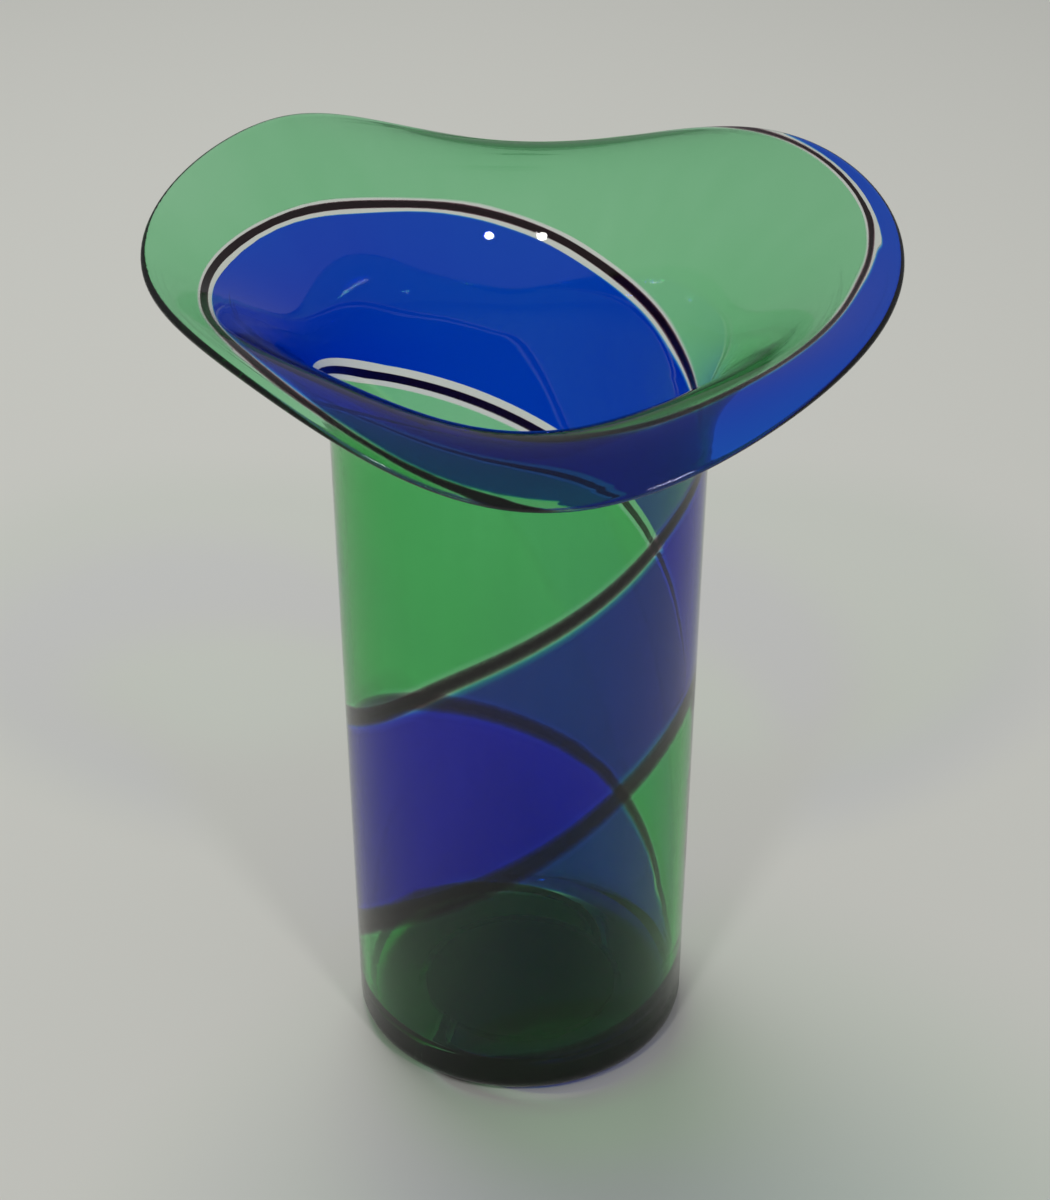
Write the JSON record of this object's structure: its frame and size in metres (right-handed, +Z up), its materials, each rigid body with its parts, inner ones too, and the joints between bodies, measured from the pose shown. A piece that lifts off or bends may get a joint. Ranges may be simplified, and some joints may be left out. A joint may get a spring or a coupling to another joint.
{
  "type": "blown glass vase",
  "caption": "Cylindrical hand blown glass vase with a flared, saddle bent mouth and a double helix of green and blue glass parted by dark threads and clear strips.",
  "frame": {"origin": "on the table, under the middle of the cylindrical body", "axes": "+Z up along the body, -Y towards the drawn down front of the mouth, +X to the right seen from the front"},
  "size_m": [0.2255, 0.2274, 0.3104],
  "materials": {
    "green_glass": "transparent emerald green, fire polished",
    "blue_glass": "transparent cobalt blue, fire polished",
    "dark_thread_glass": "near black aubergine, fire polished",
    "clear_glass": "clear, colourless, fire polished"
  },
  "bodies": {
    "root": {"green_band": "green_glass", "blue_band": "blue_glass", "upper_thread": "dark_thread_glass", "lower_thread": "dark_thread_glass", "upper_clear_strip_blue_side": "clear_glass", "upper_clear_strip_green_side": "clear_glass", "lower_clear_strip_blue_side": "clear_glass", "lower_clear_strip_green_side": "clear_glass", "pontil_disc": "green_glass"}
  },
  "joints": []
}
